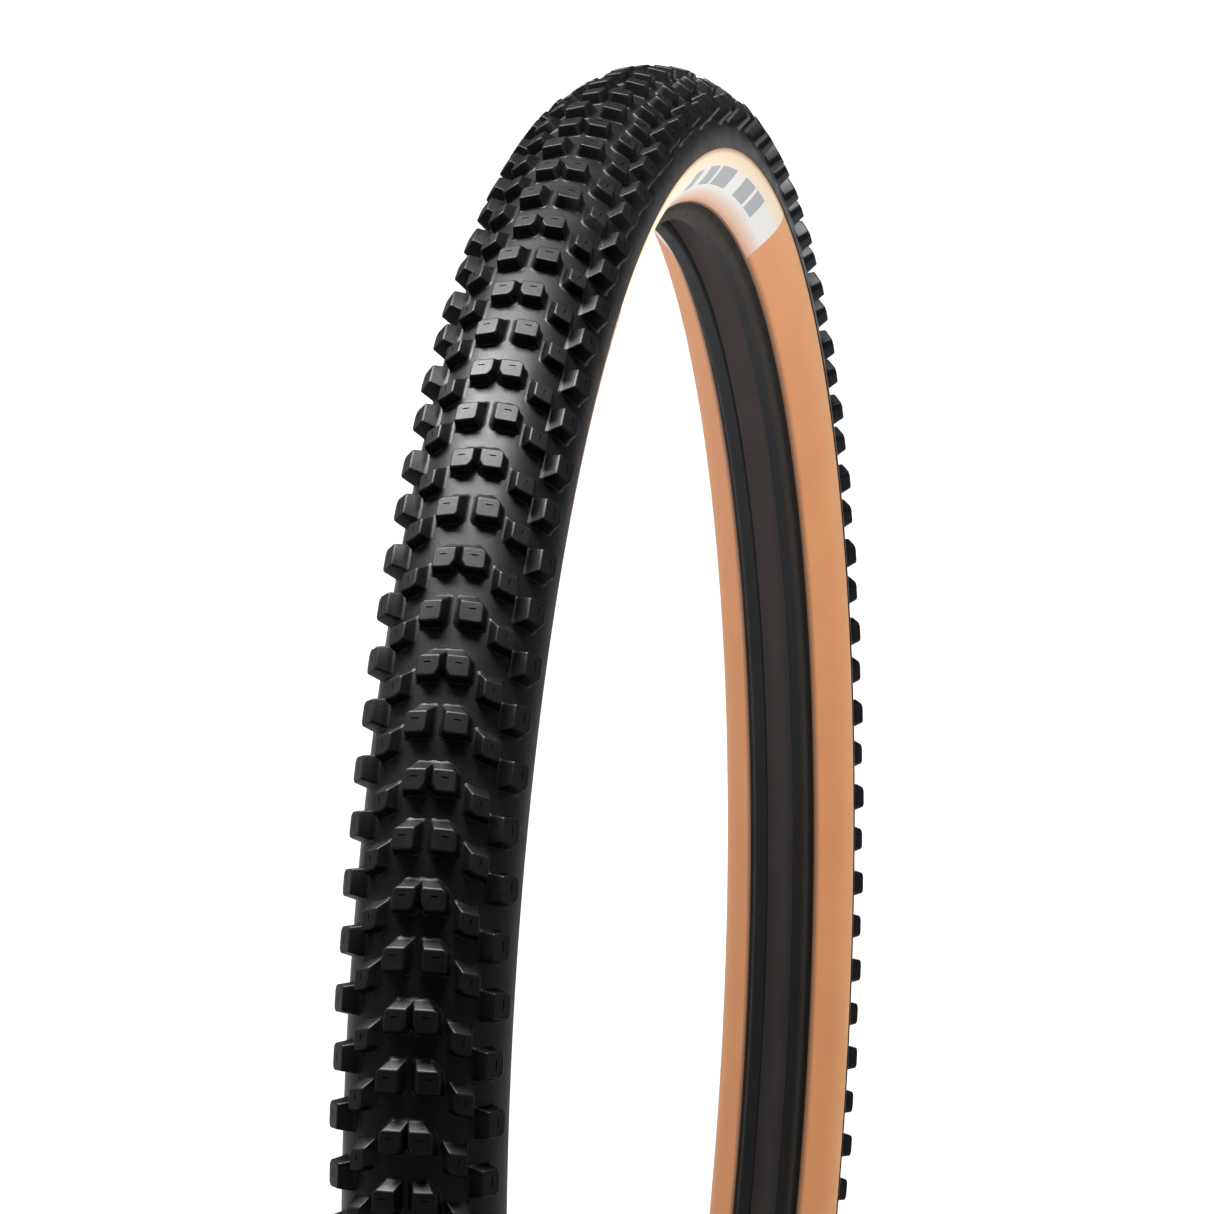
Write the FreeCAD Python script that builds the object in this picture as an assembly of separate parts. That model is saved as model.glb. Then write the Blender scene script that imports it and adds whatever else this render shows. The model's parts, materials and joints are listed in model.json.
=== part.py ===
import FreeCAD, Part
import math
import os

# Knobbly mountain bicycle tire, size 60-622 (29 x 2.35), modelled on its own without rim or tube.
# Frame: origin at the wheel centre, +Y along the axle (left side of the bicycle), +Z up,
# +X the way the bicycle travels. Every layer is a ring about the Y axis. Millimetres.

os.makedirs("parts", exist_ok=True)

# ---- driving dimensions -------------------------------------------------------------------
OUTER_RADIUS = 369.0          # over the centre knobs
BEAD_SEAT_RADIUS = 311.0      # fits a 622 mm rim
WIDEST_RADIUS = 336.3         # where the section is widest
TREAD_SECTION_RADIUS = 28.0   # the tread base is a round arc about (WIDEST_RADIUS, 0)
CASING_HALF_WIDTH = 27.05     # outer face of the ply at its widest
CASING_RISE = 26.2            # ply crown above the widest radius

# layer faces, measured outward from the outer face of the ply
LINER_INSIDE = -1.2
PLY_INSIDE = -1.0
TURNUP_INSIDE = -0.5
PLY_FACE = 0.0
SKIN_OUTSIDE = 0.45
LABEL_OUTSIDE = 0.55

BELT_EDGE_ANGLE = 48.0        # degrees up the casing ellipse, about 18 mm from the centre line
SKIRT_EDGE_ANGLE = 4.0        # the same, where the tread rubber ends on the side
ELLIPSE_ANGLES = (0.0, SKIRT_EDGE_ANGLE, 24.0, BELT_EDGE_ANGLE, 70.0)
# (radius, half width) of the casing below its widest point, from the bead filler's tip upward
SIDEWALL_POINTS = ((317.6, 13.4), (322.0, 17.6), (326.4, 21.6), (331.2, 25.2))

# bead
CORE_CENTRE = (314.2, 8.4)    # (radius, half spacing)
CORE_RADIUS = 1.5
WRAP_RADIUS = 2.0             # core and the ply folded round it
HEEL_HALF_WIDTH = 10.95
BASE_HALF_WIDTHS = (6.4, 9.8)          # flat part of the bead seat
TOE_TIP = (311.5, 5.65)
TOE_INSIDE = (314.3, 5.75)
CHAFER_OUTER_POINTS = ((315.6, 12.35), (313.8, 11.45))
HEEL_TOP_RADIUS = 312.2
CHAFER_INSIDE_SHARE = 0.55    # how far up the inner strip the chafer reaches

# tread pattern
ROWS = 116                    # rows of knobs round the tire, alternating wide and close pairs
ROW_STEP = 360.0 / ROWS
SHOULDER_JOINT_ANGLE = 43.0   # degrees round the section from the crown, level with the belt's edge
SKIRT_ANGLE = 86.1            # the same, to the thin edge of the tread rubber
CORE_SECTOR = 8.0             # degrees of tread either side of a knob, used to trim its foot
FOOT_DEPTH = 1.6              # how far a knob is sunk before it is trimmed

# sidewall label
LABEL_START_ANGLE = 60.5      # degrees up and over from the rear
LABEL_END_ANGLE = 119.5

# Curved edges are exported in short spans, so that a coarse mesh of a ring still follows them.
ARC_SPAN = 15.0               # degrees
SPLINE_SPANS = 2              # spans between two neighbouring points

AXIS_POINT = FreeCAD.Vector(0, 0, 0)
AXIS = FreeCAD.Vector(0, 1, 0)


# ---- profile helpers: a profile point is (radius, y) --------------------------------------
def vector(point):
    return FreeCAD.Vector(point[0], point[1], 0)


def line(start, end):
    return Part.makeLine(vector(start), vector(end))


def arc(centre, radius, start_angle, end_angle):
    """Edges along an arc about centre, from one angle to the other in degrees."""
    count = math.ceil(abs(end_angle - start_angle) / ARC_SPAN)
    span = (end_angle - start_angle) / count
    edges = []
    for index in range(count):
        points = [circle_point(centre, radius, start_angle + (index + share) * span)
                  for share in (0.0, 0.5, 1.0)]
        edges.append(Part.Arc(*[vector(point) for point in points]).toShape())
    return edges


def circle_point(centre, radius, angle):
    turn = math.radians(angle)
    return (centre[0] + radius * math.cos(turn), centre[1] + radius * math.sin(turn))


def tangent_angle(point, radius, side):
    """Angle on the core's circle where a line from point touches it, on one side (+1 or -1)."""
    rise = point[0] - CORE_CENTRE[0]
    across = point[1] - CORE_CENTRE[1]
    return math.degrees(math.atan2(across, rise) + side * math.acos(radius / math.hypot(rise, across)))


def chord_parameters(points):
    total = 0.0
    parameters = [total]
    for start, end in zip(points, points[1:]):
        total += math.dist(start, end)
        parameters.append(total)
    return parameters


def spans(curve, parameters):
    """Edges of a curve between its first and last parameter, cut at and between all of them."""
    edges = []
    for start, end in zip(parameters, parameters[1:]):
        step = (end - start) / SPLINE_SPANS
        edges += [curve.toShape(start + index * step, start + (index + 1) * step)
                  for index in range(SPLINE_SPANS)]
    return edges


def spline(points):
    parameters = chord_parameters(points)
    curve = Part.BSplineCurve()
    curve.interpolate(Points=[vector(point) for point in points], Parameters=parameters)
    return spans(curve, parameters)


def face(edges):
    return Part.Face(Part.Wire(Part.__sortEdges__(edges)))


def ring(profile, angle=360.0):
    return profile.revolve(AXIS_POINT, AXIS, angle)


def mirrored(shape):
    return shape.mirror(AXIS_POINT, AXIS)


def export(name, shape):
    shape.exportStep("parts/" + name + ".step")


def export_both_sides(name, left_shape):
    export(name + "_left", left_shape)
    export(name + "_right", mirrored(left_shape))


# ---- casing curve -------------------------------------------------------------------------
def casing_points():
    """Outer face of the ply from the left filler tip over the crown to the right one."""
    left = list(SIDEWALL_POINTS)
    for angle in ELLIPSE_ANGLES:
        turn = math.radians(angle)
        left.append((WIDEST_RADIUS + CASING_RISE * math.sin(turn), CASING_HALF_WIDTH * math.cos(turn)))
    crown = (WIDEST_RADIUS + CASING_RISE, 0.0)
    right = [(radius, -width) for radius, width in reversed(left)]
    return left + [crown] + right


POINTS = casing_points()
PARAMETERS = chord_parameters(POINTS)
PLY_CURVE = Part.BSplineCurve()
PLY_CURVE.interpolate(Points=[vector(point) for point in POINTS], Parameters=PARAMETERS)

SIDEWALL_COUNT = len(SIDEWALL_POINTS)
FILLER_TIP = PARAMETERS[0]
SKIRT_EDGE = PARAMETERS[SIDEWALL_COUNT + ELLIPSE_ANGLES.index(SKIRT_EDGE_ANGLE)]
BELT_INDEX = SIDEWALL_COUNT + ELLIPSE_ANGLES.index(BELT_EDGE_ANGLE)
BELT_EDGE = PARAMETERS[BELT_INDEX]
FAR_BELT_EDGE = PARAMETERS[-1 - BELT_INDEX]
CROWN = PARAMETERS[len(POINTS) // 2]
FAR_END = PARAMETERS[-1]


def layer_curve(depth):
    """The ply curve moved outward by depth, at the same parameters."""
    moved = []
    for parameter in PARAMETERS:
        along = PLY_CURVE.tangent(parameter)[0]
        outward = FreeCAD.Vector(-along.y, along.x, 0)
        if outward.dot(PLY_CURVE.value(parameter) - FreeCAD.Vector(WIDEST_RADIUS, 0, 0)) < 0:
            outward = outward * -1
        moved.append(PLY_CURVE.value(parameter) + outward * depth)
    curve = Part.BSplineCurve()
    curve.interpolate(Points=moved, Parameters=PARAMETERS)
    return curve


CURVES = {depth: layer_curve(depth)
          for depth in (LINER_INSIDE, PLY_INSIDE, TURNUP_INSIDE, PLY_FACE, SKIN_OUTSIDE, LABEL_OUTSIDE)}


def layer_point(depth, parameter):
    point = CURVES[depth].value(parameter)
    return (point.x, point.y)


def layer_edges(depth, start, end):
    between = [parameter for parameter in PARAMETERS if start < parameter < end]
    return spans(CURVES[depth], [start, *between, end])


def strip(inside, outside, start, end):
    """Closed profile of one layer between two parameters."""
    return face([
        *layer_edges(inside, start, end),
        *layer_edges(outside, start, end),
        line(layer_point(inside, start), layer_point(outside, start)),
        line(layer_point(inside, end), layer_point(outside, end)),
    ])


# ---- bead geometry, left side -------------------------------------------------------------
TIP_OUTSIDE = layer_point(PLY_FACE, FILLER_TIP)
TIP_MIDDLE = layer_point(TURNUP_INSIDE, FILLER_TIP)
TIP_INSIDE = layer_point(PLY_INSIDE, FILLER_TIP)

INNER_WRAP_ANGLE = tangent_angle(TIP_INSIDE, WRAP_RADIUS, -1)
INNER_CORE_ANGLE = tangent_angle(TIP_MIDDLE, CORE_RADIUS, -1)
OUTER_WRAP_ANGLE = tangent_angle(TIP_OUTSIDE, WRAP_RADIUS, 1)
OUTER_CORE_ANGLE = tangent_angle(TIP_MIDDLE, CORE_RADIUS, 1)

INNER_WRAP_POINT = circle_point(CORE_CENTRE, WRAP_RADIUS, INNER_WRAP_ANGLE)
INNER_CORE_POINT = circle_point(CORE_CENTRE, CORE_RADIUS, INNER_CORE_ANGLE)
OUTER_WRAP_POINT = circle_point(CORE_CENTRE, WRAP_RADIUS, OUTER_WRAP_ANGLE)
OUTER_CORE_POINT = circle_point(CORE_CENTRE, CORE_RADIUS, OUTER_CORE_ANGLE)


def along_inner_strip(share, lift):
    """Point on the ply's cavity side between core and filler tip, lifted into the cavity."""
    run = (TIP_INSIDE[0] - INNER_WRAP_POINT[0], TIP_INSIDE[1] - INNER_WRAP_POINT[1])
    length = math.hypot(*run)
    return (INNER_WRAP_POINT[0] + share * run[0] + lift * run[1] / length,
            INNER_WRAP_POINT[1] + share * run[1] - lift * run[0] / length)


LINER_THICKNESS = PLY_INSIDE - LINER_INSIDE
CHAFER_END = along_inner_strip(CHAFER_INSIDE_SHARE, 0.0)
CHAFER_END_LIFTED = along_inner_strip(CHAFER_INSIDE_SHARE, LINER_THICKNESS)


def with_mirror(edges):
    return edges + [mirrored(edge) for edge in edges]


def inner_liner():
    """Airtight film over the whole inside, down to the chafers."""
    ends = with_mirror([
        line(TIP_INSIDE, CHAFER_END),
        line(CHAFER_END, CHAFER_END_LIFTED),
        line(CHAFER_END_LIFTED, layer_point(LINER_INSIDE, FILLER_TIP)),
    ])
    over = layer_edges(PLY_INSIDE, FILLER_TIP, FAR_END) + layer_edges(LINER_INSIDE, FILLER_TIP, FAR_END)
    return ring(face(over + ends))


def casing_ply():
    """Rubbered nylon cloth from bead to bead, folded under both cores."""
    full_turn = 360.0
    ends = with_mirror([
        line(TIP_INSIDE, INNER_WRAP_POINT),
        *arc(CORE_CENTRE, WRAP_RADIUS, INNER_WRAP_ANGLE, OUTER_WRAP_ANGLE - full_turn),
        line(OUTER_WRAP_POINT, OUTER_CORE_POINT),
        *arc(CORE_CENTRE, CORE_RADIUS, OUTER_CORE_ANGLE - full_turn, INNER_CORE_ANGLE),
        line(INNER_CORE_POINT, TIP_MIDDLE),
    ])
    over = layer_edges(PLY_INSIDE, FILLER_TIP, FAR_END) + layer_edges(TURNUP_INSIDE, FILLER_TIP, FAR_END)
    return ring(face(over + ends))


def casing_turnup():
    """The same cloth coming back up outside the core, as far as the crown."""
    return ring(face([
        line(OUTER_WRAP_POINT, OUTER_CORE_POINT),
        line(OUTER_CORE_POINT, TIP_MIDDLE),
        *layer_edges(TURNUP_INSIDE, FILLER_TIP, CROWN),
        line(layer_point(TURNUP_INSIDE, CROWN), layer_point(PLY_FACE, CROWN)),
        *layer_edges(PLY_FACE, FILLER_TIP, CROWN),
        line(TIP_OUTSIDE, OUTER_WRAP_POINT),
    ]))


def bead_core():
    circle = Part.makeCircle(CORE_RADIUS, vector(CORE_CENTRE), FreeCAD.Vector(0, 0, 1))
    return ring(Part.Face(Part.Wire([circle])))


def bead_filler():
    """Rubber wedge above the core."""
    return ring(face([
        *arc(CORE_CENTRE, CORE_RADIUS, INNER_CORE_ANGLE, OUTER_CORE_ANGLE),
        line(OUTER_CORE_POINT, TIP_MIDDLE),
        line(TIP_MIDDLE, INNER_CORE_POINT),
    ]))


def chafer():
    """Hard rubber round the bead that meets the rim: outer face, heel, flat base and toe."""
    skin_tip = layer_point(SKIN_OUTSIDE, FILLER_TIP)
    heel_top = (HEEL_TOP_RADIUS, HEEL_HALF_WIDTH)
    base_outer = (BEAD_SEAT_RADIUS, BASE_HALF_WIDTHS[1])
    base_inner = (BEAD_SEAT_RADIUS, BASE_HALF_WIDTHS[0])
    heel_middle = (BEAD_SEAT_RADIUS + 0.35, HEEL_HALF_WIDTH - 0.35)
    full_turn = 360.0
    return ring(face([
        line(TIP_OUTSIDE, skin_tip),
        *spline([skin_tip, *CHAFER_OUTER_POINTS, heel_top]),
        Part.Arc(vector(heel_top), vector(heel_middle), vector(base_outer)).toShape(),
        line(base_outer, base_inner),
        line(base_inner, TOE_TIP),
        *spline([TOE_TIP, TOE_INSIDE, CHAFER_END_LIFTED]),
        line(CHAFER_END_LIFTED, CHAFER_END),
        line(CHAFER_END, INNER_WRAP_POINT),
        *arc(CORE_CENTRE, WRAP_RADIUS, INNER_WRAP_ANGLE, OUTER_WRAP_ANGLE - full_turn),
        line(OUTER_WRAP_POINT, TIP_OUTSIDE),
    ]))


# ---- tread --------------------------------------------------------------------------------
SECTION_CENTRE = (WIDEST_RADIUS, 0.0)
SHOULDER_JOINT = circle_point(SECTION_CENTRE, TREAD_SECTION_RADIUS, SHOULDER_JOINT_ANGLE)


def tread_arc(start_angle, end_angle):
    return arc(SECTION_CENTRE, TREAD_SECTION_RADIUS, start_angle, end_angle)


def tread_base():
    """Smooth rubber band under the knobs, as wide as the belt."""
    joints = with_mirror([line(SHOULDER_JOINT, layer_point(SKIN_OUTSIDE, BELT_EDGE))])
    inside = layer_edges(SKIN_OUTSIDE, BELT_EDGE, FAR_BELT_EDGE)
    return ring(face(tread_arc(SHOULDER_JOINT_ANGLE, -SHOULDER_JOINT_ANGLE) + inside + joints))


def tread_shoulder():
    """Rubber strip from the belt's edge down over the shoulder to a thin edge."""
    thin_edge = circle_point(SECTION_CENTRE, TREAD_SECTION_RADIUS, SKIRT_ANGLE)
    belt_corner = layer_point(SKIN_OUTSIDE, BELT_EDGE)
    return ring(face([
        *tread_arc(SHOULDER_JOINT_ANGLE, SKIRT_ANGLE),
        line(thin_edge, layer_point(PLY_FACE, SKIRT_EDGE)),
        *layer_edges(PLY_FACE, SKIRT_EDGE, BELT_EDGE),
        line(layer_point(PLY_FACE, BELT_EDGE), belt_corner),
        line(belt_corner, SHOULDER_JOINT),
    ]))


def tread_core_sector():
    """Everything under the tread's outer face near the rear, where each knob is trimmed."""
    half_disc = face([
        *tread_arc(90.0, -90.0),
        line((WIDEST_RADIUS, -TREAD_SECTION_RADIUS), (WIDEST_RADIUS, TREAD_SECTION_RADIUS)),
    ])
    half_disc.rotate(AXIS_POINT, AXIS, 180.0 - CORE_SECTOR)
    return half_disc.revolve(AXIS_POINT, AXIS, 2 * CORE_SECTOR)


def offset_outline(outline, runs):
    """Move each side of a convex outline outward by its own run and rejoin the corners."""
    count = len(outline)
    sides = []
    for index in range(count):
        start, end = outline[index], outline[(index + 1) % count]
        length = math.dist(start, end)
        normal = ((end[1] - start[1]) / length, (start[0] - end[0]) / length)
        sides.append((normal, normal[0] * start[0] + normal[1] * start[1] + runs[index]))
    corners = []
    for index in range(count):
        (first, first_reach), (second, second_reach) = sides[index - 1], sides[index]
        cross = first[0] * second[1] - first[1] * second[0]
        corners.append(((first_reach * second[1] - second_reach * first[1]) / cross,
                        (first[0] * second_reach - second[0] * first_reach) / cross))
    return corners


def knob(outline, drafts, arc_angle, height):
    """One knob at the rear of the tire, its foot trimmed to the tread.

    outline: top corners as (lateral, circumferential), anticlockwise; drafts: run over rise of
    each side; arc_angle: degrees round the section from the crown toward the left side.
    """
    turn = math.radians(arc_angle)
    lateral = FreeCAD.Vector(math.sin(turn), math.cos(turn), 0)
    along = FreeCAD.Vector(0, 0, 1)
    outward = FreeCAD.Vector(-math.cos(turn), math.sin(turn), 0)
    section_centre = FreeCAD.Vector(-WIDEST_RADIUS, 0, 0)
    depth = height + FOOT_DEPTH
    foot_outline = offset_outline(outline, [draft * depth for draft in drafts])

    def place(corners, reach):
        return [section_centre + lateral * across + along * forward + outward * reach
                for across, forward in corners]

    top = place(outline, TREAD_SECTION_RADIUS + height)
    foot = place(foot_outline, TREAD_SECTION_RADIUS - FOOT_DEPTH)
    count = len(top)
    faces = [Part.Face(Part.makePolygon(top + top[:1])), Part.Face(Part.makePolygon(foot + foot[:1]))]
    for index in range(count):
        after = (index + 1) % count
        faces.append(Part.Face(Part.makePolygon(
            [top[index], top[after], foot[after], foot[index], top[index]])))
    block = Part.makeSolid(Part.makeShell(faces))
    if block.Volume < 0:
        block.reverse()
    return block.cut(CORE).Solids[0]


def around(shape, first_row, phase):
    """Copies of a knob on every second row, starting at first_row, phase rows further on."""
    copies = []
    for row in range(first_row, ROWS, 2):
        copy = shape.copy()
        copy.rotate(AXIS_POINT, AXIS, (row + phase) * ROW_STEP)
        copies.append(copy)
    return copies


def centre_height(arc_angle, half_width):
    """Height that brings the knob's inner top edge to the outer radius."""
    turn = math.radians(arc_angle)
    reach = (OUTER_RADIUS - WIDEST_RADIUS - half_width * math.sin(turn)) / math.cos(turn)
    return reach - TREAD_SECTION_RADIUS


EVEN, ODD = 0, 1
BRAKING, SIDE, RAMP = 0.16, 0.22, 0.75    # knob wall slopes, run over rise

# centre knobs, phase in rows to the middle of the block
CENTRE_PHASE = 0.99
CENTRE_HALF_WIDTH = 3.9
CENTRE_HALF_LENGTH = 3.7
CLOSE_ARC_ANGLE = 9.2
CLOSE_INNER_CUT = 1.5
WIDE_ARC_ANGLE = 12.6
WIDE_INNER_CUT = 0.6

TRANSITION_PHASE = 0.66
TRANSITION_HALF_WIDTH = 3.3
TRANSITION_HALF_LENGTH = 3.5
TRANSITION_HEIGHT = 4.4
TRANSITION_ARC_ANGLES = {EVEN: 32.0, ODD: 35.0}

SHOULDER_PHASE = 0.32
SHOULDER_HALF_WIDTH = 3.8
SHOULDER_HALF_LENGTH = 4.5
SHOULDER_HEIGHT = 5.5
SHOULDER_ARC_ANGLES = {EVEN: 52.8, ODD: 56.0}


def centre_outline(inner_cut):
    """Block whose inner trailing corner is cut away by inner_cut."""
    width, length = CENTRE_HALF_WIDTH, CENTRE_HALF_LENGTH
    return [(-width + inner_cut, -length), (width, -length), (width, length - 1.0),
            (width - 1.0, length), (-width, length), (-width, -length + 1.6 * inner_cut)]


def centre_knob(arc_angle, inner_cut):
    drafts = (BRAKING, SIDE, SIDE, RAMP, SIDE, SIDE)
    height = centre_height(arc_angle, CENTRE_HALF_WIDTH)
    return knob(centre_outline(inner_cut), drafts, arc_angle, height)


def transition_knob(arc_angle):
    width, length = TRANSITION_HALF_WIDTH, TRANSITION_HALF_LENGTH
    outline = [(-width, -length + 1.0), (-width + 1.6, -length), (width, -length - 0.6),
               (width, length - 0.8), (-width, length)]
    drafts = (BRAKING, BRAKING, SIDE, RAMP, SIDE)
    return knob(outline, drafts, arc_angle, TRANSITION_HEIGHT)


def shoulder_knob(arc_angle):
    width, length = SHOULDER_HALF_WIDTH, SHOULDER_HALF_LENGTH
    outline = [(-width, -length), (width - 1.2, -length), (width, -length + 1.4),
               (width, length - 1.4), (width - 1.2, length), (-width, length - 0.6)]
    drafts = (BRAKING, SIDE, SIDE, SIDE, SIDE, SIDE)
    return knob(outline, drafts, arc_angle, SHOULDER_HEIGHT)


def ring_of_pairs(left_knob, first_row):
    left = around(left_knob, first_row, CENTRE_PHASE)
    return Part.makeCompound(left + [mirrored(shape) for shape in left])


def staggered_side(make_knob, arc_angles, phase):
    """Left side ring with a knob on every row, its reach alternating between rows."""
    solids = []
    for parity, arc_angle in arc_angles.items():
        solids += around(make_knob(arc_angle), parity, phase)
    return Part.makeCompound(solids)


def label():
    """Thin printed label over the height of the sidewall skin, near the top of the tire."""
    profile = strip(SKIN_OUTSIDE, LABEL_OUTSIDE, FILLER_TIP, SKIRT_EDGE)
    rear_to_start = 180.0 + LABEL_START_ANGLE
    profile.rotate(AXIS_POINT, AXIS, rear_to_start)
    return profile.revolve(AXIS_POINT, AXIS, LABEL_END_ANGLE - LABEL_START_ANGLE)


# ---- build --------------------------------------------------------------------------------
CORE = tread_core_sector()

export("inner_liner", inner_liner())
export("casing_ply", casing_ply())
export("breaker_belt", ring(strip(PLY_FACE, SKIN_OUTSIDE, BELT_EDGE, FAR_BELT_EDGE)))
export("tread_base", tread_base())
export_both_sides("tread_shoulder", tread_shoulder())
export_both_sides("casing_turnup", casing_turnup())
export_both_sides("bead_core", bead_core())
export_both_sides("bead_filler", bead_filler())
export_both_sides("chafer", chafer())
export_both_sides("sidewall_skin", ring(strip(PLY_FACE, SKIN_OUTSIDE, FILLER_TIP, SKIRT_EDGE)))
export_both_sides("sidewall_label", label())

export("centre_knobs_close", ring_of_pairs(centre_knob(CLOSE_ARC_ANGLE, CLOSE_INNER_CUT), EVEN))
export("centre_knobs_wide", ring_of_pairs(centre_knob(WIDE_ARC_ANGLE, WIDE_INNER_CUT), ODD))
export_both_sides("transition_knobs",
                  staggered_side(transition_knob, TRANSITION_ARC_ANGLES, TRANSITION_PHASE))
export_both_sides("shoulder_knobs", staggered_side(shoulder_knob, SHOULDER_ARC_ANGLES, SHOULDER_PHASE))
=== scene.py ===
import json
import math

import bpy
import numpy as np
from mathutils import Euler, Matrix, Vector


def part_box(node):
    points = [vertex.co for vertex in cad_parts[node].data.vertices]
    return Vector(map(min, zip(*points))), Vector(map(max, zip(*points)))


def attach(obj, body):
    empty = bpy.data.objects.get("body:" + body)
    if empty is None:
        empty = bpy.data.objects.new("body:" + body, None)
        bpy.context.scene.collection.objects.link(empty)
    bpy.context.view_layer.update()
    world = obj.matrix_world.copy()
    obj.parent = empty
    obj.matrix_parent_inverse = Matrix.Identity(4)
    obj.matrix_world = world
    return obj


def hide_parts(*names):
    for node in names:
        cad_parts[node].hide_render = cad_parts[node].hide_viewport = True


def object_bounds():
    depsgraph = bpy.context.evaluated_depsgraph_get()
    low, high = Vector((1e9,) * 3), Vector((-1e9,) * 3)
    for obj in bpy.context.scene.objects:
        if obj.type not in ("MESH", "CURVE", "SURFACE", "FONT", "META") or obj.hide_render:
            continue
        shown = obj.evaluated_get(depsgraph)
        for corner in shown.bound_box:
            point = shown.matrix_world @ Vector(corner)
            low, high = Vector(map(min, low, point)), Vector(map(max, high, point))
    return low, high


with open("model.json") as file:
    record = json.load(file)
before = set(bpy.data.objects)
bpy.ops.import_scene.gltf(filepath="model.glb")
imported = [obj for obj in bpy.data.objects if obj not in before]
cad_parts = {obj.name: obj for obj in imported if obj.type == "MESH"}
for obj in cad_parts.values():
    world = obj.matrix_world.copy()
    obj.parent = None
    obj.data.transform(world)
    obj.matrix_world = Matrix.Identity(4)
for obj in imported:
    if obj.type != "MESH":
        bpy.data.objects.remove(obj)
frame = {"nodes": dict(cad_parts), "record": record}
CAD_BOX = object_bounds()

# Knobbly bicycle tire, standing upright. Metres, in the CAD frame: origin at the wheel centre,
# +Y along the axle to the left side, +Z up, +X the way the bicycle travels.
# A place round the tire is a ring angle: 0 at the rear (-X), 90 at the top, 180 at the front.
# A place round the section is an arc angle: 0 at the crown, 90 at the left side's widest point.

MM = 0.001

# ---- sizes, taken from the frame where it has them --------------------------------------------
SEAT_RADIUS = frame["record"]["mounts"][0]["dims"]["r_mm"] * MM
HALF_WIDTH = 28.0 * MM                          # radius of the tread base's round arc
CROWN_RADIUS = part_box("tread_base")[1][2]
WIDEST_RADIUS = CROWN_RADIUS - HALF_WIDTH       # where that arc's centre lies
CASING_HALF_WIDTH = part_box("casing_turnup_left")[1][1]
CASING_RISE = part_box("casing_turnup_left")[1][2] - WIDEST_RADIUS
SKIN_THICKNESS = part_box("breaker_belt")[1][2] - WIDEST_RADIUS - CASING_RISE
LINER_STAND_OFF = 0.7 * MM                      # clears the flat facets of the ply's own mesh
LINER_DEPTH = WIDEST_RADIUS + CASING_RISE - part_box("inner_liner")[1][2] + LINER_STAND_OFF
LINER_THICKNESS = 0.15 * MM
OUTER_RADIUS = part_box("centre_knobs_close")[1][2]

# ---- section shape ----------------------------------------------------------------------------
# Each point: (mm above the bead seat, mm from the middle plane).
SIDEWALL_POINTS = ((6.6, 13.4), (11.0, 17.6), (15.4, 21.6), (20.2, 25.2))    # up from the filler tip
HEEL_POINTS = ((4.6, 12.35), (2.8, 11.45), (1.2, 10.95), (0.35, 10.6), (0.0, 9.8))
TOE_POINTS = ((0.0, 6.4), (0.12, 5.95), (0.5, 5.66), (1.6, 5.52), (3.3, 5.7), (4.6, 6.15),
              (5.6, 7.1), (6.3, 8.45))
CHAFER_END = (6.82, 10.14)                      # where the chafer meets the liner inside
CASING_ANGLES = (0, 12, 24, 36, 48, 60, 70, 80)    # degrees from the widest point to the crown
SKIRT_ANGLE = 86.1                              # arc angle of the tread rubber's thin edge
SKIRT_RISE = HALF_WIDTH * math.cos(math.radians(SKIRT_ANGLE))
SKIN_OVERLAP = 1.0 * MM                         # how far the skin runs on under the thin edge
OUTSIDE_LENGTH = 7.2 * MM                       # chafer from the skin to the heel

FULL_TURN = 2 * math.pi
RING_STEPS = 696                                # six to each row of knobs
CASING_SPAN_STEPS = 8
CHAFER_OUTSIDE_STEPS = 6
CHAFER_INSIDE_STEPS = 5
TREAD_ARC_POINTS = 73
TREAD_INSIDE_POINTS = 25
SKIN_POINTS = 28
LINER_POINTS = 90
SHARP_ANGLE = math.radians(40)                  # folds steeper than this are shaded as edges

# ---- tread blocks: mm, and wall slopes as run over rise ---------------------------------------
ROWS = 116
ROW_STEP = FULL_TURN / ROWS
EVEN, ODD = 0, 1
CENTRE_PHASE, TRANSITION_PHASE, SHOULDER_PHASE = 0.99, 0.66, 0.32    # rows, to a block's middle
BRAKING, SIDE, RAMP = 0.16, 0.22, 0.75
CENTRE_SIZE = (3.9, 3.7)                        # half width, half length
TRANSITION_SIZE = (3.3, 3.5, 4.4)               # half width, half length, height
SHOULDER_SIZE = (3.8, 4.5, 5.5)                 # half width, half length, height
# centre pairs: (node, arc angle, cut of the inner braking corner, rows)
CENTRE_PAIRS = (("centre_knobs_close", 9.2, 1.5, EVEN), ("centre_knobs_wide", 12.6, 0.6, ODD))
INNER_CUT_SLANT = 1.6                           # that cut's length over its width
TRANSITION_ANGLES = {EVEN: 32.0, ODD: 35.0}     # arc angle in each kind of row
SHOULDER_ANGLES = {EVEN: 52.8, ODD: 56.0}
# dimples in the block tops: (across, along, length, width, depth, turn in degrees)
CENTRE_DIMPLE = (0.2, 1.1, 2.6, 0.5, 0.5, 0.0)
TRANSITION_DIMPLE = (0.1, 0.3, 2.4, 0.45, 0.45, 80.0)
SHOULDER_DIMPLE = (0.4, 0.2, 3.4, 0.5, 0.6, 90.0)
DIMPLE_END_POINTS = 5                           # on each round end
CUTTER_RISE = 1.0                               # how far a dimple's cutter stands above the block
FILLET = 0.7                                    # where a block's foot runs into the tread
FILLET_TURNS = (0.0, 0.35, 0.65, 1.0)           # its loops, as shares of a quarter turn
FOOT_SINK = 0.35                                # how far the lowest loop is below the tread
FOOT_SPREAD = 0.1                               # and outside the fillet
EDGE_ROUND = 0.45                               # along a block's top edge
EDGE_TURNS = (0.0, 0.3, 0.6, 0.85, 1.0)         # its loops, as shares of a quarter turn
CORNER_ROUND = 0.7
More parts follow.
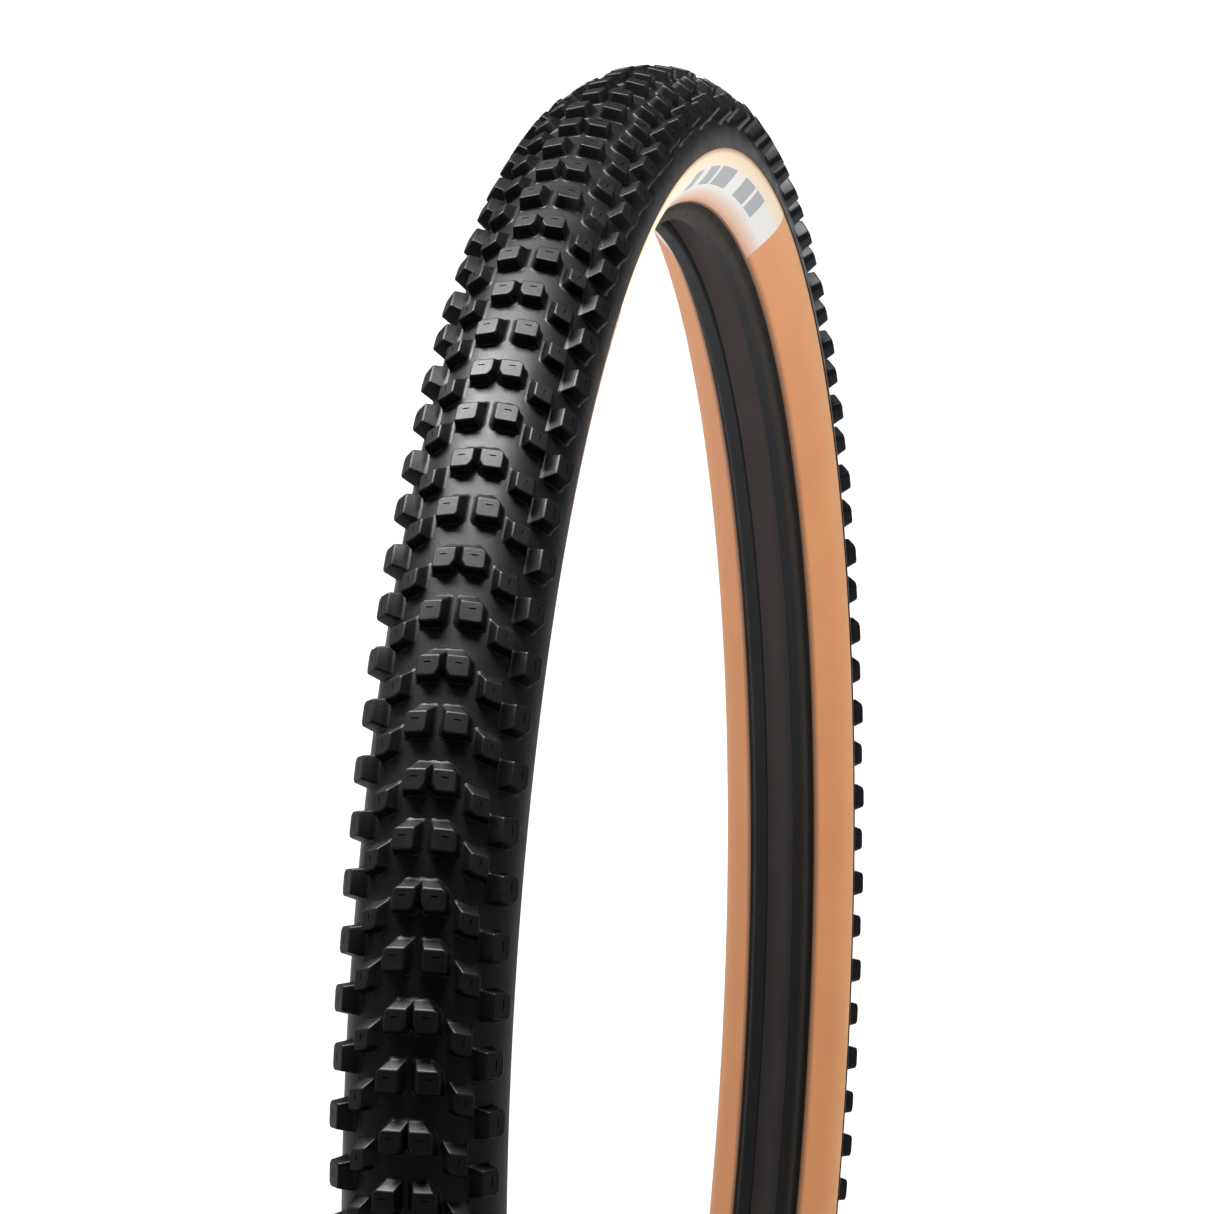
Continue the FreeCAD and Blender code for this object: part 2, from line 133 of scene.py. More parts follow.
CORNER_LIMIT = 0.45                             # of a side's length, at most, goes to a corner
FLAT_MARGIN = 0.25                              # flat face inside each rounding, to shade flat
TOP_CROWN_SHARE = 0.45                          # share of the tread's curve that a top keeps

# ---- colours (linear), in pairs where a pattern blends the two --------------------------------
TREAD_BLACKS = ((0.0007, 0.0007, 0.0008), (0.0015, 0.0015, 0.0017))
TREAD_SCUFF = (0.006, 0.006, 0.0065)
TREAD_IOR = 1.16                                # low, so that walls seen at a slant stay dark
TAN_REDDER = (0.505, 0.198, 0.078)
TAN_YELLOWER = (0.545, 0.235, 0.092)
TAN_UPPER = (0.585, 0.295, 0.125)
TAN_DARK = (0.37, 0.145, 0.058)
TAN_EDGE = (0.036, 0.015, 0.006)
# chafer: the cloth's own dark tones, with painted shade in the outer face's browns and painted light in
# the heel's greys and the base's greys
CHAFER_SHADED_BROWNS = ((0.0040, 0.0026, 0.0018), (0.0075, 0.0050, 0.0038))
CHAFER_LIT_GREYS = ((0.0150, 0.0125, 0.0110), (0.0230, 0.0195, 0.0175))
CHAFER_LIT_BASES = ((0.010, 0.0105, 0.0112), (0.016, 0.0165, 0.0175))
LINER_BROWNS = ((0.105, 0.088, 0.083), (0.145, 0.122, 0.116))
LABEL_CREAMS = ((0.64, 0.50, 0.335), (0.70, 0.565, 0.395))
LABEL_PINK = (0.52, 0.33, 0.24)
LABEL_COOL = (0.56, 0.55, 0.53)
BAR_GREYS = ((0.21, 0.225, 0.235), (0.29, 0.31, 0.325))
CLOTH_BROWN = (0.05, 0.045, 0.04)
ARAMID_YELLOW = (0.55, 0.42, 0.14)
FILLER_BLACK = (0.02, 0.02, 0.02)
FLOOR_WHITE = (0.94, 0.94, 0.94)
NOISE_MIDDLE = (0.3, 0.7)                       # where most of a noise pattern's values lie
# cords: (how many cross a circle round the tire, pitch along the profile in metres)
SKIN_CORDS = (2400, 0.0009)
CHAFER_CORDS = (2600, 0.0008)
LINER_CORDS = (1300, 0.0016)

# ---- label ------------------------------------------------------------------------------------
LABEL_START = math.radians(60.5)
LABEL_END = math.radians(119.5)
LABEL_THICKNESS = 0.08 * MM
BAR_THICKNESS = 0.05 * MM
BAR_LIFT = 0.9                                  # share of the label's thickness under a bar
BAR_POINTS = slice(9, 19)                       # of the label's profile, from the bead side
# generic bars: (start, end) as shares of the label's length
LABEL_BARS = ((0.49, 0.535), (0.575, 0.63), (0.645, 0.73), (0.785, 0.845), (0.858, 0.905))

# ---- stage ------------------------------------------------------------------------------------
FLOOR_HALF = 30.0
WORLD_STRENGTH = 1.3
BRIGHT_UNTIL = 0.15                             # the world is bright up to this |X| of a direction
DARK_FROM = 0.80                                # and dark from this one on, fore and aft
DARK_STRENGTH = 0.03
KEY = {"place": (-0.17, 0.36, 1.85), "target": (-0.25, 0.0, 0.27), "size": (0.6, 1.8),
       "power": 450.0}
INSIDE_FILL = {"place": (-0.15, -0.11, 0.2), "target": (0.37, 0.0, 0.1), "size": (0.2, 0.5),
               "power": 0.8}
INSIDE_TOP_FILL = {"place": (-0.04, -0.10, 0.10), "target": (0.04, 0.0, 0.34), "size": (0.2, 0.2),
                   "power": 0.9}
WASH_STRENGTH = 2.0
WASH_ANGLE = math.radians(60.0)

CAMERA_AZIMUTH = -77.99
CAMERA_ELEVATION = 11.39
CAMERA_DISTANCE = 2.4046
CAMERA_TARGET = (-0.0019, 0.0089, 0.1659)
CAMERA_ROLL = -0.18
CAMERA_LENS = 188.9
CAMERA_CLIP = (0.1, 100.0)
SENSOR = 36.0


# ---- mesh helpers -----------------------------------------------------------------------------
def smooth_line(points, per_span):
    """Catmull-Rom line through (radius, y) points."""
    points = [np.array(point) for point in points]
    padded = [2 * points[0] - points[1], *points, 2 * points[-1] - points[-2]]
    line = []
    for index in range(1, len(padded) - 2):
        before, start, end, after = padded[index - 1:index + 3]
        for step in range(per_span):
            t = step / per_span
            line.append(0.5 * (2 * start + (end - before) * t
                               + (2 * before - 5 * start + 4 * end - after) * t * t
                               + (3 * start - before - 3 * end + after) * t ** 3))
    line.append(padded[-2])
    return np.array(line)


def thinned(line, count):
    """The same line with count points evenly spaced along it."""
    steps = np.concatenate([[0], np.cumsum(np.linalg.norm(np.diff(line, axis=0), axis=1))])
    places = np.linspace(0, steps[-1], count)
    return np.stack([np.interp(places, steps, line[:, axis]) for axis in (0, 1)], axis=1)


def moved_out(line, distance):
    """The line moved by distance along its normal, away from the air chamber."""
    along = np.gradient(line, axis=0)
    along /= np.linalg.norm(along, axis=1)[:, None]
    normal = np.stack([-along[:, 1], along[:, 0]], axis=1)
    centre = np.array([WIDEST_RADIUS, 0.0])
    facing = np.sign(((line - centre) * normal).sum(axis=1))
    return line + normal * (facing * distance)[:, None]


def line_length(line):
    return np.linalg.norm(np.diff(line, axis=0), axis=1).sum()


def from_seat(points):
    """(mm above the bead seat, mm from the middle) points as (radius, y) in metres."""
    return [(SEAT_RADIUS + up * MM, across * MM) for up, across in points]


def add_object(name, vertices, faces, material):
    """A piece with smooth shading between its sharp edges, riding on the tire's one body."""
    mesh = bpy.data.meshes.new(name)
    mesh.from_pydata([tuple(vertex) for vertex in vertices], [], faces)
    mesh.validate()
    mesh.materials.append(material)
    piece = bpy.data.objects.new(name, mesh)
    bpy.context.collection.objects.link(piece)
    mesh.polygons.foreach_set("use_smooth", [True] * len(mesh.polygons))
    mesh.set_sharp_from_angle(angle=SHARP_ANGLE)
    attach(piece, "root")
    return piece


def ring_points(profile, angles):
    """Profile (radius, y) points carried to each ring angle: array [angle][point][xyz]."""
    radius, across = profile[:, 0], profile[:, 1]
    return np.stack([
        -np.outer(np.cos(angles), radius),
        np.tile(across, (len(angles), 1)),
        np.outer(np.sin(angles), radius),
    ], axis=2)


def ring_mesh(name, profile, material, start=0.0, end=FULL_TURN, steps=RING_STEPS):
    """A closed profile swept round the axle, the whole way or from start to end with caps."""
    whole = end - start >= FULL_TURN
    angles = np.linspace(start, end, steps, endpoint=not whole)
    points = ring_points(profile, angles)
    rows, count = points.shape[:2]
    faces = []
    for row in range(rows if whole else rows - 1):
        after = (row + 1) % rows
        for index in range(count):
            turn = (index + 1) % count
            faces.append((row * count + index, after * count + index,
                          after * count + turn, row * count + turn))
    if not whole:
        faces.append(tuple(range(count))[::-1])
        faces.append(tuple((rows - 1) * count + index for index in range(count)))
    piece = add_object(name, points.reshape(-1, 3), faces, material)
    face_outward(piece)
    add_section_map(piece, points, whole)
    return piece


def face_outward(piece):
    """Flip the mesh if its volume is negative."""
    mesh = piece.data
    mesh.calc_loop_triangles()
    places = np.empty(3 * len(mesh.vertices))
    mesh.vertices.foreach_get("co", places)
    triangles = np.empty(3 * len(mesh.loop_triangles), dtype=np.int32)
    mesh.loop_triangles.foreach_get("vertices", triangles)
    corners = places.reshape(-1, 3)[triangles].reshape(-1, 3, 3)
    if np.einsum("ij,ij->i", corners[:, 0], np.cross(corners[:, 1], corners[:, 2])).sum() < 0:
        mesh.flip_normals()


def add_section_map(piece, points, whole):
    """UV map "section": share of the way round the tire, and metres along the profile."""
    rows, count = points.shape[:2]
    girth = np.concatenate([[0], np.cumsum(np.linalg.norm(np.diff(points[0], axis=0), axis=1))])
    closing = girth[-1] + np.linalg.norm(points[0, -1] - points[0, 0])
    mesh = piece.data
    layer = mesh.uv_layers.new(name="section")
    corners = np.empty(len(mesh.loops), dtype=np.int32)
    mesh.loops.foreach_get("vertex_index", corners)
    row, place = corners // count, corners % count
    reach = girth[place]
    # a quad that closes the ring or the profile ends at the full length there, not at zero
    quads = 4 * count * (rows if whole else rows - 1)
    quad_rows, quad_places = row[:quads].reshape(-1, 4), place[:quads].reshape(-1, 4)
    quad_rows[(np.ptp(quad_rows, axis=1) > 1)[:, None] & (quad_rows == 0)] = rows
    over_the_end = (np.ptp(quad_places, axis=1) > 1)[:, None] & (quad_places == 0)
    reach[:quads].reshape(-1, 4)[over_the_end] = closing
    layer.data.foreach_set("uv", np.stack([row / RING_STEPS, reach], axis=1).ravel())


# ---- tread blocks -----------------------------------------------------------------------------
def offset_outline(outline, runs):
    """Move each side of a convex anticlockwise outline outward by its own run and rejoin corners."""
    count = len(outline)
    sides = []
    for index in range(count):
        start, end = outline[index], outline[(index + 1) % count]
        length = math.dist(start, end)
        normal = ((end[1] - start[1]) / length, (start[0] - end[0]) / length)
        sides.append((normal, normal[0] * start[0] + normal[1] * start[1] + runs[index]))
    corners = []
    for index in range(count):
        (first, first_reach), (second, second_reach) = sides[index - 1], sides[index]
        cross = first[0] * second[1] - first[1] * second[0]
        corners.append(((first_reach * second[1] - second_reach * first[1]) / cross,
                        (first[0] * second_reach - second[0] * first_reach) / cross))
    return corners


def rounded(outline, radius, steps=3):
    """The outline with every corner turned into a short curve of steps + 1 points."""
    points = []
    count = len(outline)
    for index in range(count):
        corner = np.array(outline[index])
        back = np.array(outline[index - 1]) - corner
        ahead = np.array(outline[(index + 1) % count]) - corner
        reach = min(radius, CORNER_LIMIT * np.linalg.norm(back),
                    CORNER_LIMIT * np.linalg.norm(ahead))
        start = corner + back / np.linalg.norm(back) * reach
        end = corner + ahead / np.linalg.norm(ahead) * reach
        for step in range(steps + 1):
            t = step / steps
            points.append((1 - t) ** 2 * start + 2 * t * (1 - t) * corner + t * t * end)
    return np.array(points)


def block_mesh(outline, drafts, height):
    """Vertices (across, along, above the tread, all mm) and faces of one block."""
    loops = [(-FOOT_SINK, FILLET + FOOT_SPREAD)]
    for share in FILLET_TURNS:
        angle = share * math.pi / 2
        loops.append((FILLET * (1 - math.cos(angle)), FILLET * (1 - math.sin(angle))))
    loops += [(FILLET + FLAT_MARGIN, 0.0), (height - EDGE_ROUND - FLAT_MARGIN, 0.0)]
    for share in EDGE_TURNS:
        angle = share * math.pi / 2
        loops.append((height - EDGE_ROUND * (1 - math.sin(angle)), -EDGE_ROUND * (1 - math.cos(angle))))
    loops.append((height, -EDGE_ROUND - FLAT_MARGIN))
    vertices = []
    for level, flare in loops:
        runs = [draft * (height - level) + flare for draft in drafts]
        ring = rounded(offset_outline(outline, runs), CORNER_ROUND + max(flare, 0.0))
        vertices += [(across, along, level) for across, along in ring]
    count = len(vertices) // len(loops)
    faces = []
    for row in range(len(loops) - 1):
        for index in range(count):
            turn = (index + 1) % count
            faces.append((row * count + index, row * count + turn,
                          (row + 1) * count + turn, (row + 1) * count + index))
    faces.append(tuple(range(count))[::-1])
    faces.append(tuple((len(loops) - 1) * count + index for index in range(count)))
    return np.array(vertices), faces


def add_temporary(name, points, sides):
    """An object that only takes part in a cut."""
    mesh = bpy.data.meshes.new(name)
    mesh.from_pydata([tuple(point) for point in points], [], sides)
    piece = bpy.data.objects.new(name, mesh)
    bpy.context.collection.objects.link(piece)
    return piece


def dimple_outline(across, along, length, width, turn):
    """A slot with round ends as (across, along) points, turned by an angle in degrees."""
    outline = []
    for end, heading in ((1, 0.0), (-1, math.pi)):
        for step in range(DIMPLE_END_POINTS):
            angle = heading - math.pi / 2 + math.pi * step / (DIMPLE_END_POINTS - 1)
            outline.append((end * (length - width) / 2 + width / 2 * math.cos(angle),
                            width / 2 * math.sin(angle)))
    tilt = math.radians(turn)
    return [(across + x * math.cos(tilt) - y * math.sin(tilt),
             along + x * math.sin(tilt) + y * math.cos(tilt)) for x, y in outline]


def cut_dimple(vertices, faces, dimple):
    """The block with a dimple cut into its top."""
    across, along, length, width, depth, turn = dimple
    outline = dimple_outline(across, along, length, width, turn)
    count = len(outline)
    top = vertices[:, 2].max()
    points = [(x, y, level) for level in (top - depth, top + CUTTER_RISE) for x, y in outline]
    sides = [tuple(range(count))[::-1], tuple(range(count, 2 * count))]
    sides += [(index, (index + 1) % count, count + (index + 1) % count, count + index)
              for index in range(count)]
    block = add_temporary("block", vertices, faces)
    cutter = add_temporary("cutter", points, sides)
    cut = block.modifiers.new("cut", "BOOLEAN")
    cut.operation = "DIFFERENCE"
    cut.solver = "EXACT"
    cut.object = cutter
    bpy.context.view_layer.update()
    evaluated = block.evaluated_get(bpy.context.evaluated_depsgraph_get())
    mesh = evaluated.to_mesh()
    result = (np.array([vertex.co for vertex in mesh.vertices]),
              [tuple(polygon.vertices) for polygon in mesh.polygons])
    evaluated.to_mesh_clear()
    for piece in (block, cutter):
        bpy.data.objects.remove(piece)
    return result


def placed(vertices, arc_angle, height):
    """Block vertices carried to the rear of the tire, following the tread's curve: metres."""
    turn = math.radians(arc_angle)
    section_radius = HALF_WIDTH / MM
    across, along, above = vertices[:, 0], vertices[:, 1], vertices[:, 2]
    drop = section_radius - np.sqrt(section_radius ** 2 - across ** 2)
    share = np.clip(above / height, 0.0, 1.0)
    reach = section_radius + above - drop * (1 - (1 - TOP_CROWN_SHARE) * share)
    radius = WIDEST_RADIUS / MM + reach * math.cos(turn) - across * math.sin(turn)
    side = reach * math.sin(turn) + across * math.cos(turn)
    radius = radius - along ** 2 / (2 * radius) * (1 - share)
    return np.stack([-radius, side, along], axis=1) * MM


def turned(vertices, angle):
    """Vertices carried round the axle by a ring angle."""
    x, y, z = vertices.T
    return np.stack([x * math.cos(angle) + z * math.sin(angle), y,
                     z * math.cos(angle) - x * math.sin(angle)], axis=1)


def mirrored(vertices, faces):
    """The same block on the other side of the middle plane."""
    return vertices * np.array([1, -1, 1]), [face[::-1] for face in faces]


def join_copies(name, parts, material):
    """One object from (vertices, faces, ring angle) parts."""
    vertices, faces, base = [], [], 0
    for points, sides, angle in parts:
        vertices.append(turned(points, angle))
        faces += [tuple(base + index for index in side) for side in sides]
        base += len(points)
    return add_object(name, np.concatenate(vertices), faces, material)


def rows_of(parity, phase):
    """Ring angles of every second row."""
    return [(row + phase) * ROW_STEP for row in range(parity, ROWS, 2)]


def centre_height(arc_angle, half_width):
    """Height that brings a centre block's highest edge to the tire's outer radius."""
    turn = math.radians(arc_angle)
    reach = (OUTER_RADIUS - WIDEST_RADIUS) / MM - half_width * math.sin(turn)
    return reach / math.cos(turn) - HALF_WIDTH / MM


def finished_block(outline, drafts, height, dimple, arc_angle):
    """A dimpled block at its arc angle, with one wall slope in drafts for each side of the outline."""
    vertices, faces = block_mesh(outline, drafts, height)
    vertices, faces = cut_dimple(vertices, faces, dimple)
    return placed(vertices, arc_angle, height), faces


# The outlines below run anticlockwise as (across, along) corners, from the end of the braking edge
# that is nearest the crown. The small numbers in them are corner cuts and slants, in mm.
def centre_block(arc_angle, inner_cut):
    width, length = CENTRE_SIZE
    outline = [(-width + inner_cut, -length), (width, -length), (width, length - 1.0),
               (width - 1.0, length), (-width, length), (-width, -length + INNER_CUT_SLANT * inner_cut)]
    drafts = (BRAKING, SIDE, SIDE, RAMP, SIDE, SIDE)
    return finished_block(outline, drafts, centre_height(arc_angle, width), CENTRE_DIMPLE, arc_angle)


def transition_block(arc_angle):
    width, length, height = TRANSITION_SIZE
    outline = [(-width, -length + 1.0), (-width + 1.6, -length), (width, -length - 0.6),
               (width, length - 0.8), (-width, length)]
    drafts = (BRAKING, BRAKING, SIDE, RAMP, SIDE)
    return finished_block(outline, drafts, height, TRANSITION_DIMPLE, arc_angle)


def shoulder_block(arc_angle):
    width, length, height = SHOULDER_SIZE
    outline = [(-width, -length), (width - 1.2, -length), (width, -length + 1.4),
               (width, length - 1.4), (width - 1.2, length), (-width, length - 0.6)]
    drafts = (BRAKING, SIDE, SIDE, SIDE, SIDE, SIDE)
    return finished_block(outline, drafts, height, SHOULDER_DIMPLE, arc_angle)


def add_pairs(name, block, parity, phase, material):
    """Centre blocks: the block and its mirror image in every second row."""
    vertices, faces = block
    other_vertices, other_faces = mirrored(vertices, faces)
    parts = []
    for angle in rows_of(parity, phase):
        parts.append((vertices, faces, angle))
        parts.append((other_vertices, other_faces, angle))
    return join_copies(name + "_blocks", parts, material)


def add_side(name, blocks, phase, material, right):
    """One side's blocks, with one kind for even rows and another for odd ones."""
    parts = []
    for parity, block in blocks.items():
        vertices, faces = mirrored(*block) if right else block
        parts += [(vertices, faces, angle) for angle in rows_of(parity, phase)]
    return join_copies(name + "_blocks", parts, material)


def add_tread_blocks(material):
    pieces = []
    for name, arc_angle, inner_cut, parity in CENTRE_PAIRS:
        piece = add_pairs(name, centre_block(arc_angle, inner_cut), parity, CENTRE_PHASE, material)
        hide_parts(name)
        pieces.append(piece)
    sides = (("transition_knobs", transition_block, TRANSITION_ANGLES, TRANSITION_PHASE),
             ("shoulder_knobs", shoulder_block, SHOULDER_ANGLES, SHOULDER_PHASE))
    for name, make_block, arc_angles, phase in sides:
        blocks = {parity: make_block(arc_angle) for parity, arc_angle in arc_angles.items()}
        for side in ("left", "right"):
            node = f"{name}_{side}"
            piece = add_side(node, blocks, phase, material, side == "right")
            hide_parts(node)
            pieces.append(piece)
    return pieces


# ---- materials --------------------------------------------------------------------------------
class Nodes:
    """A material's node tree, with short calls to add and join nodes."""

    def __init__(self, name):
        self.material = bpy.data.materials.new(name)
        self.material.use_nodes = True
        self.tree = self.material.node_tree
        self.shader = self.tree.nodes["Principled BSDF"]

    def add(self, kind, inputs=(), **settings):
        node = self.tree.nodes.new("ShaderNode" + kind)
        for key, value in settings.items():
            setattr(node, key, value)
        for socket, value in dict(inputs).items():
            self.join(value, node.inputs[socket])
        return node

    def join(self, value, socket):
        """Link another node's output to the socket, or set the socket's own value."""
        if isinstance(value, bpy.types.NodeSocket):
            self.tree.links.new(value, socket)
        else:
            socket.default_value = value

    def set(self, **values):
        """Join values to the shader's inputs, named with _ for a space."""
        for key, value in values.items():
            self.join(value, self.shader.inputs[key.replace("_", " ")])

    def noise(self, scale, detail=3.0, roughness=0.55):
        place = self.add("TexCoord").outputs["Object"]
        return self.add("TexNoise", {"Vector": place, "Scale": scale, "Detail": detail,
                                     "Roughness": roughness}).outputs["Fac"]

    def math(self, operation, first, second=0.0, third=0.0):
        node = self.add("Math", operation=operation)
        for socket, value in zip(node.inputs, (first, second, third)):
            self.join(value, socket)
        return node.outputs[0]

    def ranged(self, value, low, high, new_low, new_high):
        node = self.add("MapRange", {"Value": value, "From Min": low, "From Max": high,
                                     "To Min": new_low, "To Max": new_high})
        return node.outputs["Result"]

    def spread(self, pattern, low, high):
        """The pattern's middle values spread from low to high."""
        return self.ranged(pattern, *NOISE_MIDDLE, low, high)

    def mix(self, share, first, second):
        node = self.add("Mix", {"Factor": share, "A": first, "B": second}, data_type="RGBA")
        return node.outputs["Result"]

    def blend(self, share, colours):
        darker, lighter = colours
        return self.mix(share, rgba(darker), rgba(lighter))

    def bump(self, height, strength, distance, before=None):
        node = self.add("Bump", {"Height": height, "Strength": strength, "Distance": distance})
        if before is not None:
            self.join(before, node.inputs["Normal"])
        return node.outputs["Normal"]

    def section_place(self):
        """(share of the way round, metres along the profile) from the section map."""
        uv = self.add("UVMap", uv_map="section").outputs["UV"]
        parts = self.add("SeparateXYZ", {"Vector": uv})
        return parts.outputs["X"], parts.outputs["Y"]

    def cords(self, count, pitch, lean):
        """Height of parallel cords crossing the profile on a bias, 0 to 1."""
        around, along = self.section_place()
        phase = self.math("ADD", self.math("MULTIPLY", around, float(count)),
                          self.math("MULTIPLY", along, lean / pitch))
        wave = self.math("SINE", self.math("MULTIPLY", phase, FULL_TURN))
        return self.math("MULTIPLY_ADD", wave, 0.5, 0.5)


def rgba(colour):
    return (*colour, 1.0)


def tread_rubber():
    nodes = Nodes("tread_rubber_black")
    grain = nodes.noise(scale=1400.0, detail=5.0)
    patches = nodes.noise(scale=70.0, detail=4.0)
    scuffs = nodes.ranged(nodes.noise(scale=320.0, detail=6.0, roughness=0.7), 0.52, 0.78, 0.0, 1.0)
    scuff_share = nodes.math("MULTIPLY", scuffs, 0.3)
    colour = nodes.mix(scuff_share, nodes.blend(patches, TREAD_BLACKS), rgba(TREAD_SCUFF))
    nodes.set(Base_Color=colour, Roughness=nodes.spread(patches, 0.37, 0.48), IOR=TREAD_IOR,
              Normal=nodes.bump(grain, strength=0.2, distance=0.0003))
    return nodes.material


def tan_rubber(length):
    """Tan skin: bias cloth showing faintly through, darker along both edges of its outer face."""
    nodes = Nodes("tan_sidewall_rubber")
    _, along = nodes.section_place()
    blotches = nodes.noise(scale=28.0)
    streaks = nodes.noise(scale=520.0, detail=4.0)
    cloth = nodes.math("MULTIPLY", nodes.cords(*SKIN_CORDS, lean=1.0),
                       nodes.cords(*SKIN_CORDS, lean=-1.0))
    skirt = length - SKIN_OVERLAP
    toward_tread = nodes.ranged(along, 0.45 * length, 0.95 * length, 0.0, 0.75)
    near_bead = nodes.ranged(along, 0.0, 3.4 * MM, 0.94, 0.0)
    near_skirt = nodes.ranged(along, skirt - 1.0 * MM, skirt, 0.0, 0.85)
    colour = nodes.mix(nodes.spread(blotches, 0.0, 1.0), rgba(TAN_REDDER), rgba(TAN_YELLOWER))
    colour = nodes.mix(toward_tread, colour, rgba(TAN_UPPER))
    colour = nodes.mix(nodes.math("MULTIPLY", cloth, 0.22), colour, rgba(TAN_UPPER))
    colour = nodes.mix(nodes.ranged(streaks, 0.55, 0.8, 0.0, 0.3), colour, rgba(TAN_DARK))
    colour = nodes.mix(nodes.math("MAXIMUM", near_bead, near_skirt), colour, rgba(TAN_EDGE))
    grain = nodes.bump(nodes.noise(scale=1800.0, detail=4.0), strength=0.15, distance=0.0002)
    nodes.set(Base_Color=colour, Roughness=nodes.spread(blotches, 0.54, 0.66), Specular_IOR_Level=0.3,
              Normal=nodes.bump(cloth, strength=0.35, distance=0.00008, before=grain))
    return nodes.material


def chafer_rubber():
    """Brown-black outside, its darkness partly painted shade; greyer toward the heel and a bluer grey
    on the base and toe, their lightness partly painted light.
    """
    nodes = Nodes("chafer_cloth_rubber")
    _, along = nodes.section_place()
    cloth = nodes.math("MAXIMUM", nodes.cords(*CHAFER_CORDS, lean=1.0),
                       nodes.cords(*CHAFER_CORDS, lean=-1.0))
    patches = nodes.noise(scale=90.0, detail=4.0)
    # painted light: the heel and the base are blended lighter than the outer face, which keeps painted
    # shade
    lit_toward_heel = nodes.ranged(along, 2.2 * MM, 4.2 * MM, 0.0, 1.0)
    lit_on_base = nodes.ranged(along, OUTSIDE_LENGTH, OUTSIDE_LENGTH + 1.0 * MM, 0.0, 1.0)
    colour = nodes.mix(lit_toward_heel, nodes.blend(patches, CHAFER_SHADED_BROWNS),
                       nodes.blend(patches, CHAFER_LIT_GREYS))
    colour = nodes.mix(lit_on_base, colour, nodes.blend(patches, CHAFER_LIT_BASES))
    grain = nodes.bump(nodes.noise(scale=1500.0, detail=4.0), strength=0.2, distance=0.0002)
    nodes.set(Base_Color=colour, Roughness=nodes.spread(patches, 0.56, 0.72), Specular_IOR_Level=0.05,
              Normal=nodes.bump(cloth, strength=0.5, distance=0.00012, before=grain))
    return nodes.material


def liner_rubber():
    nodes = Nodes("liner_butyl")
    cords = nodes.cords(*LINER_CORDS, lean=1.0)
    patches = nodes.noise(scale=45.0, detail=5.0)
    grain = nodes.bump(nodes.noise(scale=900.0, detail=4.0), strength=0.2, distance=0.0003)
    nodes.set(Base_Color=nodes.blend(patches, LINER_BROWNS),
              Roughness=nodes.spread(patches, 0.42, 0.56), Specular_IOR_Level=0.5,
              Normal=nodes.bump(cords, strength=0.3, distance=0.0001, before=grain))
    return nodes.material


def label_print(length):
    """Thin print: pinkish near the bead, where the tan shows through, then cool, then cream."""
    nodes = Nodes("label_cream_print")
    _, along = nodes.section_place()
    blotches = nodes.noise(scale=120.0, detail=4.0)
    skirt = length - SKIN_OVERLAP
    at_bead = nodes.ranged(along, 0.0, 0.10 * length, 0.7, 0.0)
    past_pink = nodes.ranged(along, 0.10 * length, 0.32 * length, 0.0, 1.0)
    past_cool = nodes.ranged(along, 0.62 * length, 0.80 * length, 0.0, 1.0)
    near_skirt = nodes.ranged(along, skirt - 1.8 * MM, skirt, 0.0, 0.9)
    colour = nodes.mix(past_pink, rgba(LABEL_PINK), rgba(LABEL_COOL))
    colour = nodes.mix(past_cool, colour, nodes.blend(blotches, LABEL_CREAMS))
    colour = nodes.mix(at_bead, colour, rgba(TAN_DARK))
    colour = nodes.mix(near_skirt, colour, rgba(TAN_DARK))
    grain = nodes.noise(scale=1500.0, detail=4.0)
    nodes.set(Base_Color=colour, Roughness=nodes.spread(blotches, 0.45, 0.58), Specular_IOR_Level=0.3,
              Normal=nodes.bump(grain, strength=0.12, distance=0.0002))
    return nodes.material


def bar_print():
    nodes = Nodes("label_grey_marks")
    blotches = nodes.noise(scale=150.0, detail=4.0)
    nodes.set(Base_Color=nodes.blend(blotches, BAR_GREYS),
              Roughness=nodes.spread(blotches, 0.44, 0.55), Specular_IOR_Level=0.3)
    return nodes.material


def hidden_material(name, colour, pitch):
    """Finish of a part that is buried in the tire."""
    nodes = Nodes(name)
    patches = nodes.noise(scale=1.0 / pitch)
    darker = tuple(0.6 * channel for channel in colour)
    nodes.set(Base_Color=nodes.blend(patches, (darker, colour)),
              Roughness=nodes.spread(patches, 0.55, 0.75),
              Normal=nodes.bump(patches, strength=0.3, distance=pitch / 4))
    return nodes.material


# ---- layers -----------------------------------------------------------------------------------
def casing_line():
    """Outer face of the ply, left filler tip over the crown to the right one, (radius, y)."""
    left = from_seat(SIDEWALL_POINTS)
    for angle in CASING_ANGLES:
        turn = math.radians(angle)
        left.append((WIDEST_RADIUS + CASING_RISE * math.sin(turn), CASING_HALF_WIDTH * math.cos(turn)))
    crown = (WIDEST_RADIUS + CASING_RISE, 0.0)
    right = [(radius, -width) for radius, width in reversed(left)]
    return smooth_line(left + [crown] + right, CASING_SPAN_STEPS)


def to_side(line, side):
    return line if side == "left" else line * np.array([1, -1])


def add_tread_base(material):
    """Tread base and skirt: the visible outer arc closed by the casing's own curve inside."""
    casing = moved_out(casing_line(), SKIN_THICKNESS)
    inside = casing[casing[:, 0] > WIDEST_RADIUS + SKIRT_RISE]
    arc = []
    for angle in np.linspace(SKIRT_ANGLE, -SKIRT_ANGLE, TREAD_ARC_POINTS):
        turn = math.radians(angle)
        arc.append((WIDEST_RADIUS + HALF_WIDTH * math.cos(turn), HALF_WIDTH * math.sin(turn)))
    profile = np.concatenate([np.array(arc), thinned(inside, TREAD_INSIDE_POINTS)[::-1]])
    piece = ring_mesh("tread_base_band", profile, material)
    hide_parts("tread_base", "tread_shoulder_left", "tread_shoulder_right")
    return piece


def skin_outer_line():
    """Outer face of the left sidewall skin from the chafer to the skirt's edge."""
    casing = moved_out(casing_line(), SKIN_THICKNESS)
    left = casing[casing[:, 1] > 0]
    return left[left[:, 0] <= WIDEST_RADIUS + SKIRT_RISE + SKIN_OVERLAP]


